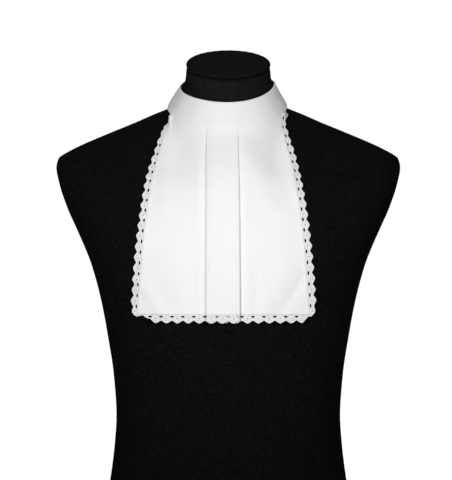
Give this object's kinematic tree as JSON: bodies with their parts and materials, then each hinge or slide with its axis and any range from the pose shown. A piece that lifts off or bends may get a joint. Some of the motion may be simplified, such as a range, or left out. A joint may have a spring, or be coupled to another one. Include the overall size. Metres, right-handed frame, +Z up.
{
  "type": "lace jabot on a dress form",
  "caption": "White cotton jabot with a stand-up neck band, a box-pleated bib and scalloped eyelet lace edging, worn on a limbless black cloth-covered dress form.",
  "frame": {"origin": "centre of the dress form's flat underside, on the plane that it stands on", "axes": "+Z up along the form's height, the front and the bib face -Y, +X is the viewer's right"},
  "size_m": [0.4398, 0.23, 0.688],
  "materials": {
    "form_cloth": "matt black woven cloth",
    "white_cotton": "crisp white cotton, lightly starched",
    "white_lace": "white embroidered eyelet lace"
  },
  "bodies": {
    "root": {"form_body": "form_cloth", "form_neck_cap": "form_cloth", "band": "white_cotton", "bib": "white_cotton", "lace_left": "white_lace", "lace_right": "white_lace", "lace_hem": "white_lace"}
  },
  "joints": []
}
